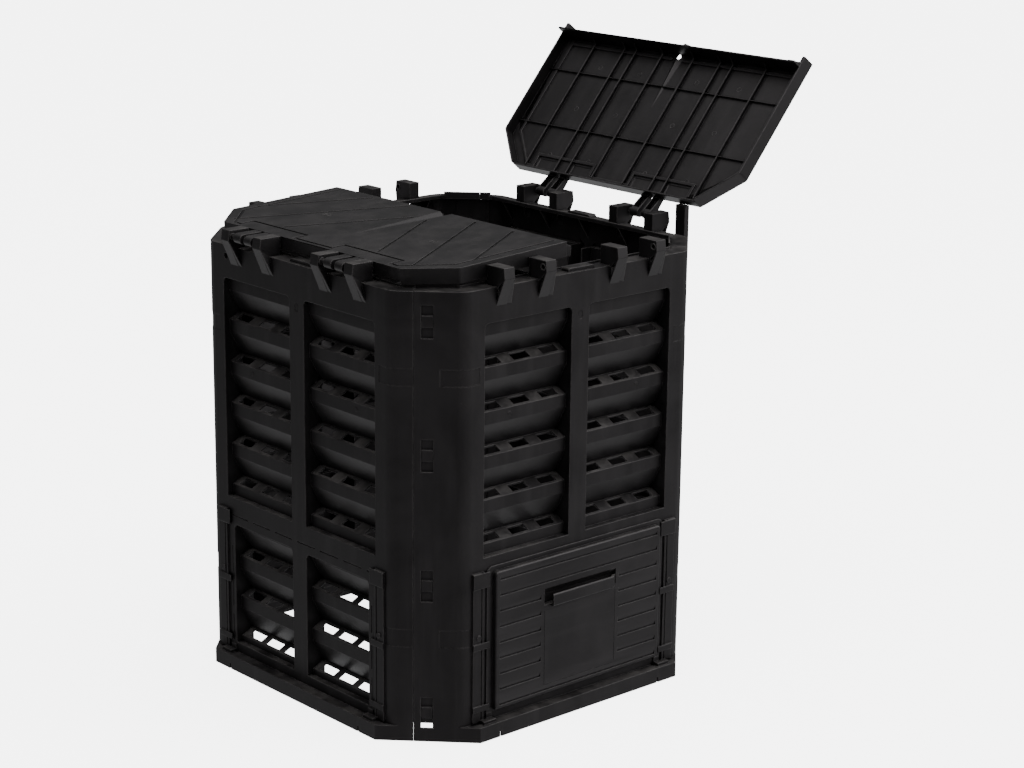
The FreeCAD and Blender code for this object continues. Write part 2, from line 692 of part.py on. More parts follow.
def score_lines():
    """Dashed grooves round the panel that can be cut out for a second hatch."""
    y0 = -BODY_HALF - 1
    y1 = -BODY_HALF + SCORE_DEPTH
    half = SCORE_WIDTH / 2
    dashes = []
    x = -SCORE_HALF_WIDTH
    while x < SCORE_HALF_WIDTH:
        end = min(x + SCORE_DASH, SCORE_HALF_WIDTH)
        dashes.append(box(x, end, y0, y1, OPENING_TOP - half, OPENING_TOP + half))
        x += SCORE_STEP
    z = OPENING_BOTTOM
    while z < OPENING_TOP - SCORE_DASH:
        for side in (-1, 1):
            middle = side * SCORE_HALF_WIDTH
            dashes.append(box(middle - half, middle + half, y0, y1, z, z + SCORE_DASH))
        z += SCORE_STEP
    return dashes


def prop_slot():
    """Slot below the rim that the hook of a lid prop passes through before it drops."""
    half = PROP_PEG_WIDTH / 2 + PROP_GAP
    bottom = RIM_HEIGHT - PROP_PEG_DROP - PROP_ARM - PROP_GAP
    height = PROP_ARM + PROP_HOOK_DROP + 2 * PROP_GAP
    return box(-PROP_PLACE - half, -PROP_PLACE + half, -BODY_HALF - 1, -BODY_HALF + WALL + 1,
               bottom, bottom + height)


def wall(has_hatch, has_prop_slot):
    """One wall panel, made as the front wall."""
    bar = MIDDLE_BAR / 2
    face_cut = (-BODY_HALF - 1, -BODY_HALF + WALL + 1)
    holes = [box(-FLAT_HALF, FLAT_HALF, *face_cut, -1, FOOT_HEIGHT - WALL)]
    columns = []
    for side in (-1, 1):
        low, high = sorted((side * bar, side * LOUVRE_SIDE))
        columns.append((low, high, RIM_HEIGHT - LOUVRE_TOP_DROP, UPPER_LOUVRE_BOTTOM,
                        UPPER_FIRST_DROP, UPPER_SLOT_BAR, 0))
        if not has_hatch:
            low, high = sorted((side * bar, side * (LOUVRE_SIDE - LOWER_SIDE_MARGIN)))
            columns.append((low, high, LOWER_LOUVRE_TOP, LOWER_LOUVRE_BOTTOM,
                            LOWER_FIRST_DROP, LOWER_SLOT_BAR, LOWER_SLOT_MARGIN))
    for low, high, top, bottom, *_ in columns:
        holes.append(arched_plate(low, high, bottom, top, *face_cut, OPENING_RADIUS))
    if has_hatch:
        holes.append(box(-OPENING_HALF, OPENING_HALF, *face_cut, OPENING_BOTTOM, OPENING_TOP))
    else:
        holes += score_lines()
    holes += bend_bands() + lug_openings() + [bar_mark()]
    shapes = [cut(wall_strip(0, WALL, 0, RIM_HEIGHT), holes), foot(), rim()]
    shapes += [louvre_column(*column) for column in columns]
    shapes += rim_stiffeners() + seam_tongue() + rails() + seat_blocks() + lip_marks() + [rim_pad()]
    shapes += [lug(*limits) for limits in lug_spans()]
    openings = seam_windows()
    if has_prop_slot:
        openings.append(prop_slot())
    return fuse(shapes).cut(fuse(openings)).removeSplitter()


# Lids, made as the right lid in its closed place

def free_edge(with_tongue):
    """Place of the free edge: the lid with the tongue is the shorter one."""
    return LID_JOINT_OFFSET if with_tongue else LID_JOINT_GAP - LID_JOINT_OFFSET


def tilted(shape):
    """A shape drawn on a level lid, turned about the hinge edge to the slope of the lid."""
    return turned(shape, math.degrees(LID_SLOPE), Vector(LID_HALF, 0, LID_EDGE_HEIGHT),
                  Vector(0, 1, 0))


def slab(face, z0, z1):
    copy = face.copy()
    copy.translate(Vector(0, 0, LID_EDGE_HEIGHT + z0))
    return copy.extrude(Vector(0, 0, z1 - z0))


def level_box(x0, x1, y0, y1, depth0, depth1):
    """A box on the level lid, between two depths below its top."""
    return box(x0, x1, y0, y1, LID_EDGE_HEIGHT - depth1, LID_EDGE_HEIGHT - depth0)


def lid_outline(inset, free_edge):
    """Plan of a lid, inset from its outside, with its free edge at a given x."""
    half = LID_HALF - inset
    corner = (LID_CORNER_DISTANCE - inset) * math.sqrt(2) - half
    bend = LID_BENDS - inset
    start = Vector(free_edge, 0, 0)
    points = [start, Vector(free_edge, -half, 0), Vector(corner, -half, 0),
              Vector(half, -corner, 0), Vector(half, corner, 0), Vector(corner, half, 0),
              Vector(free_edge, half, 0), start]
    edges = chain_edges(points, [0, bend, bend, bend, bend, 0])
    return Part.Face(Part.Wire(Part.__sortEdges__(edges)))


def lid_shell(edge):
    """Plate, skirt, shallower on the hinge side, and the inner wall back from the free edge."""
    inner = edge + INNER_WALL_SETBACK
    plate = slab(lid_outline(0, edge), -LID_PLATE, 0)
    outside = slab(lid_outline(0, edge), -LID_SKIRT_DEPTH, 0)
    inside = slab(lid_outline(LID_SKIRT, edge - 1), -LID_SKIRT_DEPTH - 1, 1)
    corner = LID_CORNER_DISTANCE * math.sqrt(2) - LID_HALF
    hinge_rise = level_box(LID_HALF - 2 * LID_SKIRT, LID_HALF + 1, -corner, corner,
                           LID_SKIRT_DEPTH - HINGE_SKIRT_RISE, LID_SKIRT_DEPTH + 1)
    inner_half = LID_HALF - LID_SKIRT / 2
    inner_wall = level_box(inner, inner + LID_SKIRT, -inner_half, inner_half,
                           LID_PLATE / 2, INNER_WALL_DEPTH)
    end_block = level_box(edge, inner + LID_SKIRT, LID_HALF - END_BLOCK_THICKNESS,
                          LID_HALF - LID_SKIRT / 2, LID_PLATE / 2, LID_SKIRT_DEPTH)
    skirt = outside.cut(fuse([inside, hinge_rise]))
    return [plate, skirt, inner_wall] + mirrored_pair(end_block, Vector(0, 1, 0))


def strip(start, end, width, depth0, depth1):
    """A straight strip on the level lid, with its ends half a width past the two points."""
    run = end[0] - start[0]
    rise = end[1] - start[1]
    length = math.hypot(run, rise)
    bar = level_box(-width / 2, length + width / 2, -width / 2, width / 2, depth0, depth1)
    bar.rotate(Vector(0, 0, 0), Vector(0, 0, 1), math.degrees(math.atan2(rise, run)))
    bar.translate(Vector(start[0], start[1], 0))
    return bar


def edge_lines():
    """Centre lines of the groove that runs round the edge, on one half of a lid."""
    near = LID_HALF - CHANNEL_NEAR
    far = LID_HALF - CHANNEL_FAR
    edge = LID_HALF - BORDER_INSET
    corner = (LID_CORNER_DISTANCE - BORDER_INSET) * math.sqrt(2) - edge
    channel = [(near, 0), (near, CHANNEL_STEP_IN), (far, CHANNEL_STEP_IN),
               (far, CHANNEL_STEP_OUT), (near, CHANNEL_STEP_OUT)]
    corner_end = (near, (LID_CORNER_DISTANCE - BORDER_INSET) * math.sqrt(2) - near)
    channel.append(corner_end)
    border = [(BORDER_INSET, edge), (corner, edge), corner_end]
    return list(zip(channel, channel[1:])) + list(zip(border, border[1:]))


def fan_lines():
    """Centre lines of the slanting grooves on one half of a lid."""
    slant = math.radians(FAN_ANGLE)
    lines = []
    for inset, y, length in FAN_GROOVES:
        x = LID_HALF - inset
        lines.append(((x, y), (x - length * math.cos(slant), y - length * math.sin(slant))))
    return lines


def both_halves(lines):
    return lines + [((x0, -y0), (x1, -y1)) for (x0, y0), (x1, y1) in lines]


def lid_ribs(edge):
    """Ribs under the plate with gussets up the inner wall, and the bead round the edge."""
    start = edge + INNER_WALL_SETBACK
    foot = LID_EDGE_HEIGHT - LID_PLATE / 2
    gusset = [(start, foot), (start + LID_SKIRT + GUSSET_REACH, foot), (start, foot - GUSSET_DEPTH)]
    end = LID_HALF - CHANNEL_NEAR
    places = [(OUTER_RIB_PLACE, RIB_THICKNESS, end), (MIDDLE_RIB_PLACE, MIDDLE_RIB_THICKNESS, end)]
    for offset in (-PRONG_RIB_OFFSET, PRONG_RIB_OFFSET):
        places.append((LUG_PAIR_OFFSET + offset, RIB_THICKNESS, LID_HALF - LID_SKIRT))
    bottom = LID_PLATE + RIB_DEPTH
    ribs = []
    for y, thickness, reach in places:
        for a, b in both_halves([((start, y), (reach, y))]):
            ribs.append(strip(a, b, thickness, LID_PLATE / 2, bottom))
            ribs.append(prism_along_y(gusset, a[1] - thickness / 2, a[1] + thickness / 2))
    side = LID_HALF - LID_SKIRT / 2
    for inset in CROSS_RIB_PLACES:
        x = LID_HALF - inset
        reach = min(side, (LID_CORNER_DISTANCE - LID_SKIRT / 2) * math.sqrt(2) - x)
        ribs.append(strip((x, -reach + RIB_THICKNESS), (x, reach - RIB_THICKNESS), CROSS_RIB_THICKNESS,
                          LID_PLATE / 2, LID_PLATE + CROSS_RIB_DEPTH))
    bead = edge + EDGE_BEAD_SETBACK
    near_free_edge = ((bead, GRIP_HALF_WIDTH), (bead, LID_HALF - BORDER_INSET))
    beads = [strip(a, b, BEAD_WIDTH, LID_PLATE / 2, LID_PLATE + BEAD_DEPTH)
             for a, b in both_halves(edge_lines() + [near_free_edge])]
    return ribs + beads


def lid_pads():
    """Cutters for the shallow pads under the plate, on each side of each pair of prong ribs."""
    x0 = LID_HALF - CHANNEL_FAR + BEAD_WIDTH / 2 + PAD_MARGIN
    x1 = LID_HALF - LID_SKIRT - PAD_MARGIN
    near_rib = LUG_PAIR_OFFSET - PRONG_RIB_OFFSET - PAD_MARGIN
    far_rib = LUG_PAIR_OFFSET + PRONG_RIB_OFFSET + PAD_MARGIN
    inner = CHANNEL_STEP_IN + BEAD_WIDTH / 2 + PAD_MARGIN
    outer = CHANNEL_STEP_OUT - BEAD_WIDTH / 2 - PAD_MARGIN
    pads = []
    for y0, y1 in ((inner, near_rib), (far_rib, outer)):
        pads += mirrored_pair(level_box(x0, x1, y0, y1, LID_PLATE - PAD_DEPTH, LID_PLATE + 1),
                              Vector(0, 1, 0))
    return pads


def grip_groove(edge, widening, deepening):
    """A groove of V section that starts at a point and grows towards the free edge."""
    top = LID_EDGE_HEIGHT
    apex = Vector(LID_HALF - GRIP_START + widening, 0, top + SKIM)
    base = edge - SKIM
    left = Vector(base, GRIP_HALF_WIDTH + widening, top + SKIM)
    right = Vector(base, -GRIP_HALF_WIDTH - widening, top + SKIM)
    bottom = Vector(base, 0, top - GRIP_DEPTH - deepening)
    return tetrahedron(apex, left, right, bottom)


def prongs():
    """Channel arms over the wall, a barrel round the hinge axis and a pin on each outer side."""
    shapes = []
    root = LID_HALF - LID_SKIRT / 2
    hollow_end = HINGE_X - BARREL_RADIUS + PRONG_SKIN
    arm = [(root, LID_EDGE_HEIGHT), (HINGE_X, HINGE_Z + BARREL_RADIUS),
           (HINGE_X, HINGE_Z - BARREL_RADIUS), (root, LID_EDGE_HEIGHT - PRONG_DEPTH)]
    hollow_start = LID_HALF + PRONG_SKIN
    hollow_top = LID_EDGE_HEIGHT - PRONG_SKIN
    hollow_bottom = HINGE_Z - 2 * BARREL_RADIUS
    hollow = [(hollow_start, hollow_top), (hollow_end, hollow_top),
              (hollow_end, hollow_bottom), (hollow_start, hollow_bottom)]
    reach = PRONG_SLOT / 2 + PRONG_WIDTH
    for centre in (-LUG_PAIR_OFFSET, LUG_PAIR_OFFSET):
        for side, cheek in ((-1, LUG_LEFT_REACH), (1, LUG_RIGHT_REACH)):
            low, high = sorted((centre + side * PRONG_SLOT / 2, centre + side * reach))
            pin_end = cheek + LUG_SKIN + PIN_PAST_CHEEK
            channel = prism_along_y(hollow, low + PRONG_SKIN, high - PRONG_SKIN)
            shapes.append(prism_along_y(arm, low, high).cut(channel))
            shapes.append(Part.makeCylinder(BARREL_RADIUS, high - low,
                                            Vector(HINGE_X, low, HINGE_Z), Vector(0, 1, 0)))
            shapes.append(Part.makeCylinder(PIN_RADIUS, pin_end - PRONG_SLOT,
                                            Vector(HINGE_X, centre + side * PRONG_SLOT, HINGE_Z),
                                            Vector(0, side, 0)))
    return shapes


def rest_feet(edge):
    """Ends of the inner wall that reach down to the upstand of the front and back walls."""
    inner = edge + INNER_WALL_SETBACK - INNER_WALL_DEPTH * math.sin(LID_SLOPE)
    top = RIM_HEIGHT + LID_RIDGE_RISE - INNER_WALL_DEPTH + LID_SKIRT
    bottom = RIM_HEIGHT + UPSTAND_HEIGHT + REST_GAP
    outer = LID_HALF - LID_SKIRT
    foot_box = box(inner, inner + LID_SKIRT, outer - REST_FOOT_LENGTH, outer, bottom, top)
    return mirrored_pair(foot_box, Vector(0, 1, 0))


def tongue_lip():
    """Bent tongue under the free edge, with a row of teeth at each end of its front."""
    ridge = RIM_HEIGHT + LID_RIDGE_RISE
    under = ridge - LID_PLATE
    root = LID_JOINT_OFFSET + LIP_ROOT
    tip = LID_JOINT_OFFSET - LIP_REACH
    profile = [(root, under), (LID_JOINT_OFFSET, under), (tip, ridge - LIP_SAG),
               (tip, ridge - LIP_DROP), (tip + LIP_THICKNESS, ridge - LIP_DROP),
               (tip + LIP_THICKNESS, ridge - LIP_SAG - 2), (LID_JOINT_OFFSET, under - LIP_THICKNESS),
               (root, under - LIP_THICKNESS)]
    half = LID_HALF - LIP_SIDE_GAP
    shapes = [prism_along_y(profile, -half, half)]
    end = [(root, under), (LID_JOINT_OFFSET, under), (tip, ridge - LIP_SAG),
           (tip, ridge - LIP_DROP), (root, ridge - LIP_DROP)]
    shapes += mirrored_pair(prism_along_y(end, half - LIP_THICKNESS, half), Vector(0, 1, 0))
    for index in range(TOOTH_COUNT):
        outer = half - LIP_THICKNESS - index * TOOTH_PITCH
        tooth = box(tip - TOOTH_LENGTH, tip + 1, outer - TOOTH_WIDTH, outer,
                    ridge - LIP_SAG - TOOTH_HEIGHT, ridge - LIP_SAG)
        shapes += mirrored_pair(tooth, Vector(0, 1, 0))
    notch_half = GRIP_HALF_WIDTH + GRIP_SKIN + LIP_NOTCH_MARGIN
    notch = box(tip - TOOTH_LENGTH - 1, LID_JOINT_OFFSET - LID_JOINT_GAP / 2, -notch_half, notch_half,
                ridge - LIP_DROP - 1, ridge)
    return [fuse(shapes).cut(notch)]


def lid(with_tongue):
    """A closed lid, made as the right one."""
    place = free_edge(with_tongue)
    edge = LID_HALF - (LID_HALF - place) / math.cos(LID_SLOPE)
    beyond = box(-LID_HALF, place, -LID_HALF, LID_HALF, 0, 2 * RIM_HEIGHT)
    ridge = grip_groove(edge, GRIP_SKIN, GRIP_SKIN).common(
        level_box(edge, LID_HALF, -LID_HALF, LID_HALF, LID_PLATE / 2, LID_SKIRT_DEPTH))
    level = lid_shell(edge) + lid_ribs(edge) + [ridge]
    shapes = [tilted(fuse(level)).cut(beyond)] + prongs() + rest_feet(edge)
    if with_tongue:
        shapes += tongue_lip()
    cutters = [strip(a, b, GROOVE_WIDTH, -1, GROOVE_DEPTH)
               for a, b in both_halves(edge_lines() + fan_lines())]
    cutters += [grip_groove(edge, 0, 0)] + lid_pads()
    hole_place = edge + INNER_WALL_SETBACK + LID_SKIRT + GRIP_HOLE_PAST_WALL
    cutters.append(Part.makeCylinder(GRIP_HOLE_RADIUS, LID_PLATE * 4,
                                     Vector(hole_place, 0,
                                            LID_EDGE_HEIGHT - LID_PLATE * 4 + 1)))
    return fuse(shapes).cut(tilted(fuse(cutters))).removeSplitter()


# Hatch

def hatch_grooves(front, half):
    """Cutters for the weatherboard rows: each slopes inwards down to a line."""
    cutters = []
    slope = SHINGLE_RISE / SHINGLE_DEPTH
    for index in range(SHINGLE_COUNT):
        line = SHINGLE_FIRST_LINE - index * SHINGLE_PITCH
        profile = [(front - 1, line), (front + SHINGLE_DEPTH, line),
                   (front - 1, line + SHINGLE_RISE + slope)]
        if index in WIDE_SHINGLES:
            spans = [(-half, half)]
        else:
            inner = PLAIN_HALF_WIDTH + PLAIN_MARGIN
            spans = [span(side, inner, half) for side in (-1, 1)]
        cutters += [prism_along_x(profile, x0, x1) for x0, x1 in spans]
    return cutters


def plain_outline(front):
    """Cutters for the fine line round the plain area below the handle."""
    half = PLAIN_LINE / 2
    y0, y1 = front - 1, front + PLAIN_LINE_DEPTH
    reach = PLAIN_HALF_WIDTH + half
    lines = [box(-reach, reach, y0, y1, PLAIN_BOTTOM - half, PLAIN_BOTTOM + half)]
    for side in (-1, 1):
        lines.append(box(*span(side, PLAIN_HALF_WIDTH - half, reach), y0, y1, PLAIN_BOTTOM, PLAIN_TOP))
    return lines


def grip_plan(front, inset):
    """Plan of the grip bar: square at its left end, slanting back to the hatch at its right."""
    out = front - HANDLE_OUT + inset
    right = HANDLE_HALF_WIDTH - inset
    return [(-HANDLE_HALF_WIDTH, out), (right, out), (right + HANDLE_TAPER, front + 1),
            (-HANDLE_HALF_WIDTH, front + 1)]


def grip(front):
    """Bar that stands off the hatch, open above the well and at its left end."""
    bar = prism_along_z(grip_plan(front, 0), HANDLE_BOTTOM, HANDLE_TOP)
    fronts = [edge for edge in bar.Edges
              if edge.BoundBox.YMax < front - HANDLE_OUT + SKIM and edge.BoundBox.XLength > WALL]
    bar = bar.makeFillet(HANDLE_ROUNDING, fronts)
    plan = grip_plan(front, HANDLE_THICKNESS)
    plan[0] = (plan[0][0] - 1, plan[0][1])
    plan[3] = (plan[3][0] - 1, plan[3][1] + 1)
    plan[2] = (plan[2][0] - HANDLE_THICKNESS, plan[2][1] + 1)
    return bar.cut(prism_along_z(plan, HANDLE_BOTTOM + HANDLE_THICKNESS, HANDLE_TOP + 1))


def well(front, back, growth):
    """Finger well behind the grip: upright below, scooped back to the face at its top."""
    deep = back - HATCH_SKIN + growth
    bottom = HANDLE_BOTTOM + HANDLE_THICKNESS - growth
    mouth = front - 1 if growth == 0 else front + 1
    profile = [(mouth, bottom), (deep, bottom), (deep, WELL_TOP - WELL_SCOOP + growth),
               (mouth, WELL_TOP + growth)]
    half = WELL_HALF_WIDTH + growth
    return prism_along_x(profile, -half, half)


def hatch():
    """Sliding hatch: a thin edge for the rails, a raised body with rounded edges and the grip."""
    back = -BODY_HALF - HATCH_GAP
    edge = back - HATCH_EDGE_THICKNESS
    front = back - HATCH_BODY_DEPTH
    body_half = HATCH_HALF - HATCH_SIDE_EDGE
    body_top = HATCH_TOP - HATCH_TOP_EDGE
    body_bottom = HATCH_BOTTOM + HATCH_BOTTOM_EDGE
    plate = arched_plate(-HATCH_HALF, HATCH_HALF, HATCH_BOTTOM, HATCH_TOP, edge, back,
                         HATCH_CORNER_RADIUS)
    body = arched_plate(-body_half, body_half, body_bottom, body_top, front, back,
                        BODY_CORNER_RADIUS).removeSplitter()
    fronts = [line for line in body.Edges if line.BoundBox.YMax < front + SKIM]
    body = body.makeFillet(BODY_ROUNDING, fronts)
    hollow = box(-body_half + HATCH_SKIN, body_half - HATCH_SKIN, front + HATCH_FRONT_SKIN, back + 1,
                 body_bottom + HATCH_SKIN, body_top - HATCH_SKIN)
    grooves = hatch_grooves(front, body_half - SHINGLE_MARGIN) + plain_outline(front)
    shell = fuse([plate, body]).cut(fuse([hollow] + grooves))
    cup = fuse([shell, well(front, back, HATCH_SKIN)]).cut(well(front, back, 0))
    return fuse([cup, grip(front)]).removeSplitter()


# Lid prop, made as one that hangs on the front wall

def lid_prop():
    """Post outside the wall, an arm whose hook drops behind the wall, and a foot at the wall."""
    turn = math.radians(OPEN_ANGLE)
    run = LID_HALF - HINGE_X
    rise = LID_EDGE_HEIGHT - HINGE_Z
    edge_out = HINGE_X + run * math.cos(turn) + rise * math.sin(turn)
    edge_height = HINGE_Z - run * math.sin(turn) + rise * math.cos(turn)
    outer = -edge_out - PROP_EDGE_MARGIN
    inner = outer + PROP_DEPTH
    x0 = -PROP_PLACE - PROP_WIDTH / 2
    x1 = -PROP_PLACE + PROP_WIDTH / 2
    top = edge_height - PROP_GAP
    bottom = RIM_HEIGHT - PROP_FOOT_DROP
    post = box(x0, x1, outer, inner, bottom, top).cut(
        box(x0 + PROP_SKIN, x1 - PROP_SKIN, outer - 1, inner - PROP_SKIN,
            bottom + PROP_SKIN, top - PROP_SKIN))
    arm_top = RIM_HEIGHT - PROP_PEG_DROP
    arm_bottom = arm_top - PROP_ARM
    face = -BODY_HALF - PROP_GAP
    hook_front = -BODY_HALF + WALL + PROP_GAP
    arm = box(x0, x1, inner - PROP_SKIN, face, arm_bottom, arm_top)
    peg_x = (-PROP_PLACE - PROP_PEG_WIDTH / 2, -PROP_PLACE + PROP_PEG_WIDTH / 2)
    peg = box(*peg_x, face - 1, hook_front + PROP_HOOK, arm_bottom, arm_top)
    hook = box(*peg_x, hook_front, hook_front + PROP_HOOK, arm_bottom - PROP_HOOK_DROP, arm_top)
    foot_arm = box(x0, x1, inner - PROP_SKIN, face, bottom, bottom + PROP_ARM)
    return fuse([post, arm, peg, hook, foot_arm]).removeSplitter()


def build():
    """All pieces in the pose in which the right lid stands open."""
    hinge = Vector(HINGE_X, 0, HINGE_Z)
    side_wall = wall(False, True)
    return {
        "front_wall": wall(True, False),
        "left_wall": turned(side_wall, -90),
        "back_wall": turned(wall(False, False), 180),
        "right_wall": turned(side_wall, 90),
        "left_lid": turned(lid(True), 180),
        "right_lid": turned(lid(False), OPEN_ANGLE, hinge, Vector(0, 1, 0)),
        "hatch": hatch(),
        "lid_prop": turned(lid_prop(), 90),
    }


os.makedirs("parts", exist_ok=True)
for node, shape in build().items():
    shape.exportStep("parts/" + node + ".step")
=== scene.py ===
import json
import math

import bmesh
import bpy
from mathutils import Matrix, Vector
from mathutils.bvhtree import BVHTree


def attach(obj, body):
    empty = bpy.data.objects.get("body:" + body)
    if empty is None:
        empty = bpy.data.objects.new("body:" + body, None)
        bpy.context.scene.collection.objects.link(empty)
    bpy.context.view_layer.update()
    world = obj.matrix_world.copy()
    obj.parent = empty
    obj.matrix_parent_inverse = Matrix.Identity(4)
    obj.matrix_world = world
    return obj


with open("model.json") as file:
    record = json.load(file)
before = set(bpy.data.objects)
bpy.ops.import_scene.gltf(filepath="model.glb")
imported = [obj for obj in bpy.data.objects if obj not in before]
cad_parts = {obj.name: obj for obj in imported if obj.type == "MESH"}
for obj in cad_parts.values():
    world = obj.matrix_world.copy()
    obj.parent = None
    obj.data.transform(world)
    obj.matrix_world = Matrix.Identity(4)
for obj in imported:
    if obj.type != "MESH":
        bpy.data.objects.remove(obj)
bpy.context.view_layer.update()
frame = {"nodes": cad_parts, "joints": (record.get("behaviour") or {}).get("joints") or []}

X_WAY = (1, 0, 0)
Y_WAY = (0, 1, 0)
Z_WAY = (0, 0, 1)


# The hinge of the open lid, in metres from the middle of the footprint

OPEN_HINGE = next(joint for joint in frame["joints"] if joint["name"] == "right_lid_hinge")
HINGE_LINE, _, HINGE_HEIGHT = OPEN_HINGE["pos_m"]
OPEN_TURN = math.radians(-OPEN_HINGE["range_deg"][0])


# Camera at the height and angle of the photograph

VIEW_AZIMUTH = math.radians(-41.7255)
VIEW_ELEVATION = math.radians(15.2443)
VIEW_ROLL = math.radians(0.6148)
VIEW_MIDDLE = (0, 0, 0.4)
VIEW_RIGHT = 0.11334
VIEW_UP = 0.10856
VIEW_DISTANCE = 4.41738
SENSOR_WIDTH = 36
LENS = 85.73
FARTHEST_SEEN = 50


def place_camera():
    """A camera on a ball round the middle of the bin, then moved right and up and rolled a little."""
    back = Vector((math.sin(VIEW_AZIMUTH) * math.cos(VIEW_ELEVATION),
                   -math.cos(VIEW_AZIMUTH) * math.cos(VIEW_ELEVATION), math.sin(VIEW_ELEVATION)))
    level = Vector(Z_WAY).cross(back).normalized()
    upright = back.cross(level)
    right = level * math.cos(VIEW_ROLL) + upright * math.sin(VIEW_ROLL)
    up = upright * math.cos(VIEW_ROLL) - level * math.sin(VIEW_ROLL)
    data = bpy.data.cameras.new("camera")
    data.sensor_width = SENSOR_WIDTH
    data.lens = LENS
    data.clip_end = FARTHEST_SEEN
    camera = bpy.data.objects.new("camera", data)
    camera.matrix_world = Matrix((right, up, back)).transposed().to_4x4()
    camera.location = (Vector(VIEW_MIDDLE) + right * VIEW_RIGHT + up * VIEW_UP
                       + back * VIEW_DISTANCE)
    bpy.context.scene.collection.objects.link(camera)
    bpy.context.scene.camera = camera


place_camera()


# Shader maths as Python expressions

FACE_SAMPLES = 4


class Value:
    """A socket that Python's operators turn into Math nodes."""

    def __init__(self, maker, socket):
        self.maker = maker
        self.socket = socket

    def _join(self, operation, first, second):
        return self.maker.node("ShaderNodeMath", {"operation": operation}, [first, second])

    def __add__(self, other):
        return self._join("ADD", self, other)

    def __radd__(self, other):
        return self._join("ADD", other, self)

    def __sub__(self, other):
        return self._join("SUBTRACT", self, other)

    def __rsub__(self, other):
        return self._join("SUBTRACT", other, self)

    def __mul__(self, other):
        return self._join("MULTIPLY", self, other)

    def __rmul__(self, other):
        return self._join("MULTIPLY", other, self)


class Maker:
    """Builds the nodes of one material or of the surroundings."""

    def __init__(self, tree):
        self.tree = tree
        tree.nodes.clear()

    def node(self, kind, settings=None, inputs=(), output=0):
        """One node: its settings, then values or links for its sockets by place or name."""
        made = self.tree.nodes.new(kind)
        for key, value in (settings or {}).items():
            setattr(made, key, value)
        pairs = inputs.items() if isinstance(inputs, dict) else enumerate(inputs)
        for key, value in pairs:
            if value is None:
                continue
            if isinstance(value, Value):
                self.tree.links.new(value.socket, made.inputs[key])
            else:
                made.inputs[key].default_value = value
        return Value(self, made.outputs[output]) if len(made.outputs) else None

    def place(self):
        """The place of a point on the moulding, in metres."""
        return self.node("ShaderNodeTexCoord", output="Object")

    def noise(self, place, scale, detail=4.0, roughness=0.5, twist=0.0):
        """Cloudy values round a half."""
        return self.node("ShaderNodeTexNoise", {"noise_dimensions": "3D"},
                         {"Vector": place, "Scale": scale, "Detail": detail,
                          "Roughness": roughness, "Distortion": twist})

    def dot(self, first, second):
        """How far a place lies along a way, or how alike two directions are."""
        return self.node("ShaderNodeVectorMath", {"operation": "DOT_PRODUCT"}, [first, second], "Value")

    def vector(self, x, y, z):
        """A place from three values."""
        return self.node("ShaderNodeCombineXYZ", {}, [x, y, z])

    def band(self, value, low, high, out_low=0.0, out_high=1.0):
        """A soft step from one output to the other while the value goes from low to high."""
        return self.node("ShaderNodeMapRange", {"interpolation_type": "SMOOTHSTEP"},
                         {"Value": value, "From Min": low, "From Max": high,
                          "To Min": out_low, "To Max": out_high})

    def mix(self, factor, first, second):
        """A colour between two colours."""
        return self.node("ShaderNodeMix", {"data_type": "RGBA"}, {0: factor, 6: first, 7: second}, 2)

    def height(self, value, strength, distance, normal=None):
        """The direction of a face that a value raises by up to a distance in metres."""
        return self.node("ShaderNodeBump", {}, {"Strength": strength, "Distance": distance,
                                                "Height": value, "Normal": normal})

    def rounded(self, radius):
        """The direction of a face as it would be with edges of this radius."""
        return self.node("ShaderNodeBevel", {"samples": FACE_SAMPLES}, {"Radius": radius})

    def openness(self, reach):
        """One on open faces, less where the moulding itself stands within reach."""
        return self.node("ShaderNodeAmbientOcclusion", {"samples": FACE_SAMPLES, "only_local": True},
                         {"Distance": reach}, "AO")


def finish_material(name, paint):
    """A new material from the values that paint gives, and how much its hollows are in shade."""
    material = bpy.data.materials.new(name)
    material.use_nodes = True
    maker = Maker(material.node_tree)
    values, shade = paint(maker)
    shader = maker.node("ShaderNodeBsdfPrincipled", {}, values)
    if shade:
        dark = maker.node("ShaderNodeBsdfDiffuse", {}, {"Color": DEEP_BLACK})
        shader = maker.node("ShaderNodeMixShader", {}, [shade, shader, dark])
    maker.node("ShaderNodeOutputMaterial", {}, [shader])
    return material


# Finishes

DEEP_BLACK = (0.0010, 0.0010, 0.0010, 1)
NEAR_BLACK = (0.0024, 0.0022, 0.0023, 1)
SOFT_BLACK = (0.0048, 0.0044, 0.0046, 1)
FLOW_GREY = (0.0090, 0.0083, 0.0086, 1)
# The pale grey of the edges is partly wear and partly a painted highlight.
WEAR_AND_HIGHLIGHT_GREY = (0.075, 0.070, 0.069, 1)
SCRATCH_GREY = (0.050, 0.048, 0.046, 1)
DUST = (0.100, 0.093, 0.088, 1)
WARM_SHINE = (1.0, 0.93, 0.95, 1)
PLASTIC_IOR = 1.49
SMOOTHEST = 0.17
FLOW_STRENGTH = 0.75
WEAR_AND_HIGHLIGHT_STRENGTH = 0.75
SCRATCH_STRENGTH = 0.35
DEEPEST_SHADE = 0.92
WEAR_AND_HIGHLIGHT_RADIUS = 0.0022
GLINT_RADIUS = 0.0013
HOLLOW_REACH = 0.007


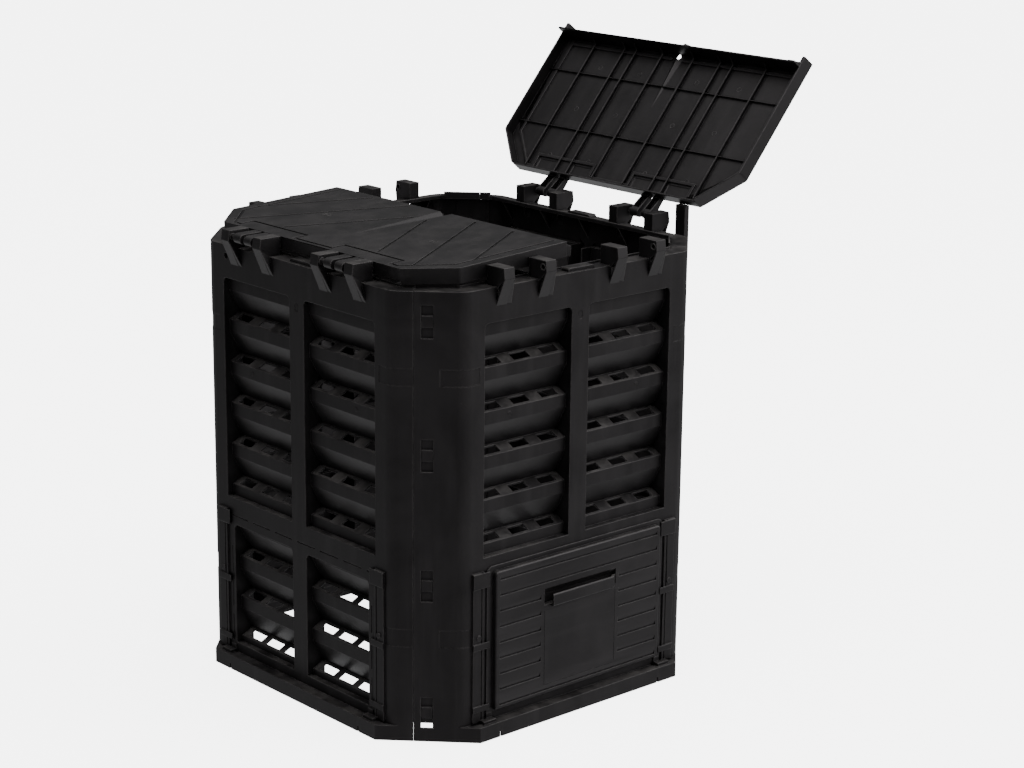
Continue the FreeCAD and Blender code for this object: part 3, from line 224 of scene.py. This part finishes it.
def moulded_plastic(name, along, across, shine=0.0, gloss=0.30, dusty=0.32):
    """Near-black polypropylene: flow streaks along one way, cloudy gloss, and paler edges that are
    partly wear and partly a painted highlight.

    More shine is less roughness, gloss is the strength of the reflections, and dusty is how
    much the dust on faces that look up hides the plastic.
    """
    away = Vector(along).cross(Vector(across))

    def paint(m):
        place = m.place()
        run, side, depth = m.dot(place, along), m.dot(place, across), m.dot(place, away)
        streaks = m.vector(run * 1.1, side * 14.0, depth * 14.0)
        flow = m.noise(streaks, scale=2.4, detail=6.0, roughness=0.62)
        swirl = m.noise(place, scale=4.2, detail=5.0, roughness=0.62, twist=1.6)
        cloud = m.noise(place, scale=1.9, roughness=0.55)
        wave = m.noise(place, scale=7.0, detail=2.0, roughness=0.4)
        fine = m.noise(place, scale=210.0, detail=3.0, roughness=0.6)
        grain = m.noise(place, scale=900.0, detail=2.0, roughness=0.6)

        lengthways = m.vector(run * 3.0, side * 95.0, depth * 95.0)
        crossways = m.vector(run * 120.0, side * 5.0, depth * 120.0)
        long_rub = m.noise(lengthways, scale=3.0, detail=3.0, roughness=0.7)
        cross_rub = m.noise(crossways, scale=2.0, detail=3.0, roughness=0.7)
        scratch = m.band(long_rub, 0.665, 0.72) * m.band(cloud, 0.45, 0.62)
        scratch = scratch + m.band(cross_rub, 0.69, 0.73) * m.band(swirl, 0.52, 0.66)

        true_face = m.node("ShaderNodeNewGeometry", output="True Normal")
        # Paler edges: partly real wear, partly a painted highlight where a rounded edge would catch the
        # light; kept out of the hollows.
        edge = m.band(1.0 - m.dot(true_face, m.rounded(WEAR_AND_HIGHLIGHT_RADIUS)), 0.015, 0.16)
        hollow = 1.0 - m.openness(HOLLOW_REACH)
        patchy_edges = m.noise(place, scale=26.0, detail=5.0, roughness=0.7)
        wear_and_highlight = edge * m.band(patchy_edges, 0.26, 0.60) * (1.0 - m.band(hollow, 0.04, 0.25))
        patches = m.noise(place, scale=17.0, detail=6.0, roughness=0.72)
        dust = m.band(m.dot(true_face, Z_WAY), 0.30, 0.95) * m.band(patches, 0.36, 0.70)

        base = m.mix(m.band(swirl, 0.35, 0.68), NEAR_BLACK, SOFT_BLACK)
        base = m.mix(m.band(flow, 0.46, 0.74) * FLOW_STRENGTH, base, FLOW_GREY)
        # Paler grey on the edges, part wear and part painted highlight.
        base = m.mix(wear_and_highlight * WEAR_AND_HIGHLIGHT_STRENGTH, base, WEAR_AND_HIGHLIGHT_GREY)
        base = m.mix(scratch * SCRATCH_STRENGTH, base, SCRATCH_GREY)
        base = m.mix(dust * dusty, base, DUST)
        rough = SMOOTHEST - shine + 0.14 * cloud + 0.28 * swirl + 0.10 * flow + 0.05 * fine
        rough = rough + 0.12 * scratch + 0.10 * dust + 0.06 * wear_and_highlight
        bump = m.height(wave, 0.35, 0.0020, m.rounded(GLINT_RADIUS))
        bump = m.height(flow, 0.20, 0.0016, bump)
        bump = m.height(fine, 0.10, 0.0006, bump)
        bump = m.height(grain, 0.16, 0.00025, bump)
        values = {"Base Color": base, "Roughness": rough, "Normal": bump, "IOR": PLASTIC_IOR,
                  "Specular IOR Level": gloss, "Specular Tint": WARM_SHINE}
        return values, m.band(hollow, 0.14, 0.55, 0.0, DEEPEST_SHADE)

    return finish_material(name, paint)


# The way from the hinge to the free edge of the open lid, then the plastic of each moulding

OPEN_ALONG = (-math.cos(OPEN_TURN), 0, math.sin(OPEN_TURN))
FINISHES = {
    "front_wall": moulded_plastic("front wall plastic", Z_WAY, X_WAY),
    "back_wall": moulded_plastic("back wall plastic", Z_WAY, (-1, 0, 0)),
    "left_wall": moulded_plastic("left wall plastic", Z_WAY, (0, -1, 0)),
    "right_wall": moulded_plastic("right wall plastic", Z_WAY, Y_WAY),
    "left_lid": moulded_plastic("closed lid plastic", X_WAY, Y_WAY, shine=0.02, dusty=0.08),
    "right_lid": moulded_plastic("open lid plastic", OPEN_ALONG, Y_WAY, shine=0.05, dusty=0.05),
    "hatch": moulded_plastic("hatch plastic", X_WAY, Z_WAY, shine=0.02, gloss=0.37),
    "lid_prop": moulded_plastic("prop plastic", Z_WAY, Y_WAY),
}


# Carried-over mouldings

CORNERS_JOINED_WITHIN = 0.00002
FLAT_WITHIN = math.radians(0.6)
ROUNDED_FROM = math.radians(18)
ROUNDING_STEPS = 2
FLAT_FACE_WEIGHT = 100
EDGE_ROUNDING = 0.0007
HATCH_EDGE_ROUNDING = 0.00045


def smooth_faces():
    """A modifier group that shades every face smooth."""
    group = bpy.data.node_groups.new("smooth faces", "GeometryNodeTree")
    for way in ("INPUT", "OUTPUT"):
        group.interface.new_socket("Geometry", in_out=way, socket_type="NodeSocketGeometry")
    start = group.nodes.new("NodeGroupInput")
    smooth = group.nodes.new("GeometryNodeSetShadeSmooth")
    end = group.nodes.new("NodeGroupOutput")
    group.links.new(start.outputs[0], smooth.inputs["Geometry"])
    group.links.new(smooth.outputs[0], end.inputs[0])
    return group


SMOOTH_FACES = smooth_faces()


def round_edges(piece, width):
    """Joins the facets of each flat face, then rounds every edge of the moulding."""
    weld = piece.modifiers.new("joined corners", "WELD")
    weld.merge_threshold = CORNERS_JOINED_WITHIN
    flat = piece.modifiers.new("joined facets", "DECIMATE")
    flat.decimate_type = "DISSOLVE"
    flat.angle_limit = FLAT_WITHIN
    piece.modifiers.new("smooth faces", "NODES").node_group = SMOOTH_FACES
    rounding = piece.modifiers.new("rounded edges", "BEVEL")
    rounding.width = width
    rounding.segments = ROUNDING_STEPS
    rounding.limit_method = "ANGLE"
    rounding.angle_limit = ROUNDED_FROM
    rounding.use_clamp_overlap = False
    shading = piece.modifiers.new("flat face shading", "WEIGHTED_NORMAL")
    shading.mode = "FACE_AREA"
    shading.weight = FLAT_FACE_WEIGHT


def finish_mouldings():
    """Gives each moulding its own plastic and rounded edges."""
    for name, piece in frame["nodes"].items():
        piece.data.materials.clear()
        piece.data.materials.append(FINISHES[name])
        for polygon in piece.data.polygons:
            polygon.material_index = 0
        round_edges(piece, HATCH_EDGE_ROUNDING if name == "hatch" else EDGE_ROUNDING)


finish_mouldings()


# Sections of the small marks, as pairs of radius and height above the face in metres

HOLE_COLLAR = [(0.0041, -0.0004), (0.0041, 0.0006), (0.0044, 0.0009), (0.0058, 0.0009),
               (0.0062, 0.0006), (0.0062, -0.0004)]
PIN_MARK = [(0.0040, -0.0004), (0.0040, 0.0002), (0.0043, 0.0003), (0.0048, 0.0003),
            (0.0051, 0.0002), (0.0051, -0.0004)]
GATE_RING = [(0.0066, -0.0004), (0.0066, 0.0003), (0.0069, 0.0005), (0.0076, 0.0005),
             (0.0079, 0.0003), (0.0079, -0.0004)]
GATE_PIP = [(0.0, 0.0007), (0.0008, 0.0007), (0.0013, 0.0004), (0.0016, -0.0004), (0.0, -0.0004)]
TURN_STEPS = 28


# Small marks of moulding, turned forms that sit on the mouldings

FACE_TREES = {}


def surface(node, start, way):
    """The point and the outward direction where a line first meets a moulding."""
    if node not in FACE_TREES:
        work = bmesh.new()
        work.from_mesh(frame["nodes"][node].data)
        FACE_TREES[node] = BVHTree.FromBMesh(work)
        work.free()
    point, normal, _, _ = FACE_TREES[node].ray_cast(start, way)
    return point, -normal if normal.dot(way) > 0 else normal


def turned(work, point, normal, profile):
    """Adds a closed form to a mesh by turning a section round a line."""
    turn = normal.to_track_quat("Z", "Y").to_matrix()
    rows = []
    for radius, height in profile:
        row = []
        for step in range(TURN_STEPS if radius > 0 else 1):
            angle = 2 * math.pi * step / TURN_STEPS
            offset = turn @ Vector((radius * math.cos(angle), radius * math.sin(angle), height))
            row.append(work.verts.new(point + offset))
        rows.append(row)
    for low, high in zip(rows, rows[1:] + rows[:1]):
        for step in range(TURN_STEPS):
            after = (step + 1) % TURN_STEPS
            corners = [low[step % len(low)], low[after % len(low)],
                       high[after % len(high)], high[step % len(high)]]
            unique = list(dict.fromkeys(corners))
            if len(unique) > 2:
                work.faces.new(unique)


def add_marks(name, body, finish, marks):
    """One mesh of turned marks that moves with a body."""
    work = bmesh.new()
    for (point, normal), profile in marks:
        turned(work, point, normal, profile)
    bmesh.ops.recalc_face_normals(work, faces=work.faces)
    mesh = bpy.data.meshes.new(name)
    work.to_mesh(mesh)
    work.free()
    mesh.shade_smooth()
    mesh.materials.append(finish)
    piece = bpy.data.objects.new(name, mesh)
    bpy.context.scene.collection.objects.link(piece)
    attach(piece, body)


# Collars on the lugs

LUG_PAIR_PLACES = (-0.1315, 0.1225)
OVER_THE_HOLE = 0.0052


def collars(node, quarter_turns):
    """Collars round the hinge holes in the facing cheeks of each pair of lugs.

    A line that passes just over the hole finds the cheek.
    """
    turn = Matrix.Rotation(math.radians(90 * quarter_turns), 3, "Z")
    marks = []
    for place in LUG_PAIR_PLACES:
        for side in (-1, 1):
            start = turn @ Vector((place, -HINGE_LINE, HINGE_HEIGHT + OVER_THE_HOLE))
            point, normal = surface(node, start, turn @ Vector((side, 0, 0)))
            marks.append(((point - Vector((0, 0, OVER_THE_HOLE)), normal), HOLE_COLLAR))
    return marks


for turns, wall in enumerate(("front_wall", "right_wall", "back_wall", "left_wall")):
    add_marks(wall + "_collars", "bin", FINISHES[wall], collars(wall, turns))


# Marks on the lids, placed from the middle of the ridge at the free edge

RIDGE_HEIGHT = 0.826
SLOPE_COSINE, SLOPE_SINE = 0.9986, 0.0528
GATE_OUT = 0.161
GATE_SIDES = (-0.147, 0.147)
PIN_OUT = (0.068, 0.165, 0.272)
PIN_SIDES = (-0.184, -0.076, 0.076, 0.184)
CLEAR_OF_LID = 0.05


def lid_marks(node, directions):
    """Gate marks on top of a lid and pin marks in the bays between its ribs."""
    side = Vector(Y_WAY)
    middle, out, up = directions
    marks = []
    for y in GATE_SIDES:
        place = middle + out * GATE_OUT + side * y
        found = surface(node, place + up * CLEAR_OF_LID, -up)
        marks += [(found, GATE_RING), (found, GATE_PIP)]
    for x in PIN_OUT:
        for y in PIN_SIDES:
            place = middle + out * x + side * y
            marks.append((surface(node, place - up * CLEAR_OF_LID, up), PIN_MARK))
    return marks


def lid_directions(turn):
    """Middle of the ridge, the way to the hinge and the way up, for a lid turned open."""
    hinge = Vector((HINGE_LINE, 0, HINGE_HEIGHT))
    rotation = Matrix.Rotation(turn, 3, "Y")
    middle = hinge + rotation @ (Vector((0, 0, RIDGE_HEIGHT)) - hinge)
    out = rotation @ Vector((SLOPE_COSINE, 0, -SLOPE_SINE))
    return middle, out, rotation @ Vector((SLOPE_SINE, 0, SLOPE_COSINE))


def mirrored(directions):
    """The same place and ways on the other side of the bin."""
    return tuple(Vector((-part.x, part.y, part.z)) for part in directions)


add_marks("left_lid_marks", "left_lid", FINISHES["left_lid"],
          lid_marks("left_lid", mirrored(lid_directions(0))))
add_marks("right_lid_marks", "right_lid", FINISHES["right_lid"],
          lid_marks("right_lid", lid_directions(OPEN_TURN)))


# Floor and backdrop

WHITE = (1.0, 1.0, 1.0, 1)
FLOOR_DIM = (0.86, 0.86, 0.86, 1)
FLOOR_PALE = (0.90, 0.90, 0.90, 1)
FLOOR_GLOW = 4.5
FLOOR_HALF = 14.0
FLOOR_DROP = 0.0006
BACKDROP_RADIUS = 11.0
BACKDROP_HEIGHT = 7.0
BACKDROP_ROWS = 8
BACKDROP_STEPS = 48
BACKDROP_DROP = 0.0004


def pale_floor(m):
    """Matt and faintly clouded, with a glow that brings it near to white."""
    place = m.place()
    cloud = m.noise(place, scale=1.3)
    fleck = m.noise(place, scale=240.0, detail=3.0, roughness=0.6)
    values = {"Base Color": m.mix(cloud, FLOOR_DIM, FLOOR_PALE), "Roughness": 0.70 + 0.12 * cloud,
              "Normal": m.height(fleck, 0.05, 0.0005),
              "Emission Color": WHITE, "Emission Strength": FLOOR_GLOW}
    return values, None


def place_stage(name, points, faces, drop, finish):
    """A floor or a backdrop, which the plastic doesn't mirror."""
    mesh = bpy.data.meshes.new(name)
    mesh.from_pydata(points, [], faces)
    mesh.shade_smooth()
    mesh.materials.append(finish)
    stage = bpy.data.objects.new(name, mesh)
    stage.location.z = -drop
    stage.visible_glossy = False
    stage.visible_diffuse = False
    bpy.context.scene.collection.objects.link(stage)
    return stage


def place_floor(finish):
    """A flat square floor."""
    sides = [(-1, -1), (1, -1), (1, 1), (-1, 1)]
    corners = [(FLOOR_HALF * x, FLOOR_HALF * y, 0) for x, y in sides]
    place_stage("floor", corners, [(0, 1, 2, 3)], FLOOR_DROP, finish)


def place_backdrop(finish):
    """A round backdrop that rises from the floor, so that low views see no edge."""
    points = []
    for row in range(BACKDROP_ROWS + 1):
        lean = math.radians(90 * row / BACKDROP_ROWS)
        radius = BACKDROP_RADIUS + BACKDROP_HEIGHT * math.sin(lean)
        height = BACKDROP_HEIGHT * (1 - math.cos(lean))
        for step in range(BACKDROP_STEPS):
            turn = 2 * math.pi * step / BACKDROP_STEPS
            points.append((radius * math.cos(turn), radius * math.sin(turn), height))
    faces = []
    for row in range(BACKDROP_ROWS):
        low, high = row * BACKDROP_STEPS, (row + 1) * BACKDROP_STEPS
        for step in range(BACKDROP_STEPS):
            after = (step + 1) % BACKDROP_STEPS
            faces.append((low + step, low + after, high + after, high + step))
    backdrop = place_stage("backdrop", points, faces, BACKDROP_DROP, finish)
    backdrop.visible_shadow = False


FLOOR_FINISH = finish_material("pale floor", pale_floor)
place_floor(FLOOR_FINISH)
place_backdrop(FLOOR_FINISH)


# Light

SKY_TINT = (0.98, 0.99, 1.0, 1)
FRONT_RIGHT = (0.66, -0.75, 0)
FRONT_LEFT = (-0.74, -0.67, 0)
HORIZON_STRENGTH = 0.29
OVERHEAD_STRENGTH = 2.5
DIMMED_BEHIND = 0.84
DIMMED_FRONT_LEFT = 0.45
LOW_GLOW = 1.4
HIGH_GLOW = 0.5
GROUND_STRENGTH = 0.98


def light_sky():
    """Surroundings that are dim at the horizon, bright overhead, and darker behind the bin.

    They glow at the front right, and a little far below, where a pale ground would be.
    """
    world = bpy.data.worlds.new("studio")
    world.use_nodes = True
    m = Maker(world.node_tree)
    way = m.node("ShaderNodeTexCoord", output="Generated")
    rise = m.dot(way, Z_WAY)
    behind = m.band(m.dot(way, Y_WAY), -0.05, 0.45) * m.band(rise, -0.04, 0.12)
    right = m.band(m.dot(way, FRONT_RIGHT), 0.30, 0.92)
    left = m.band(m.dot(way, FRONT_LEFT), 0.60, 0.95)
    sky = m.band(rise, 0.0, 0.80, HORIZON_STRENGTH, OVERHEAD_STRENGTH)
    sky = sky * (1.0 - behind * DIMMED_BEHIND) * (1.0 - left * DIMMED_FRONT_LEFT)
    glow = m.band(rise, -0.09, 0.02, 0.0, LOW_GLOW) + m.band(rise, 0.10, 0.40, 0.0, HIGH_GLOW)
    ground = m.band(0.0 - rise, 0.34, 0.68, 0.0, GROUND_STRENGTH)
    shader = m.node("ShaderNodeBackground", {}, [SKY_TINT, sky + right * glow + ground])
    m.node("ShaderNodeOutputWorld", {}, [shader])
    bpy.context.scene.world = world


def soft_light(name, place, aim, size, power):
    """A white lamp with a large rectangular face."""
    data = bpy.data.lights.new(name, "AREA")
    data.shape = "RECTANGLE"
    data.size, data.size_y = size
    data.energy = power
    light = bpy.data.objects.new(name, data)
    light.location = place
    light.rotation_euler = (Vector(aim) - Vector(place)).to_track_quat("-Z", "Y").to_euler()
    bpy.context.scene.collection.objects.link(light)


light_sky()
soft_light("front window", place=(3.0, -3.7, 0.85), aim=(0, 0, 0.5), size=(2.2, 1.5), power=7)
soft_light("overhead", place=(-0.4, 0.4, 4.6), aim=(0, 0, 0.4), size=(3.6, 3.6), power=80)
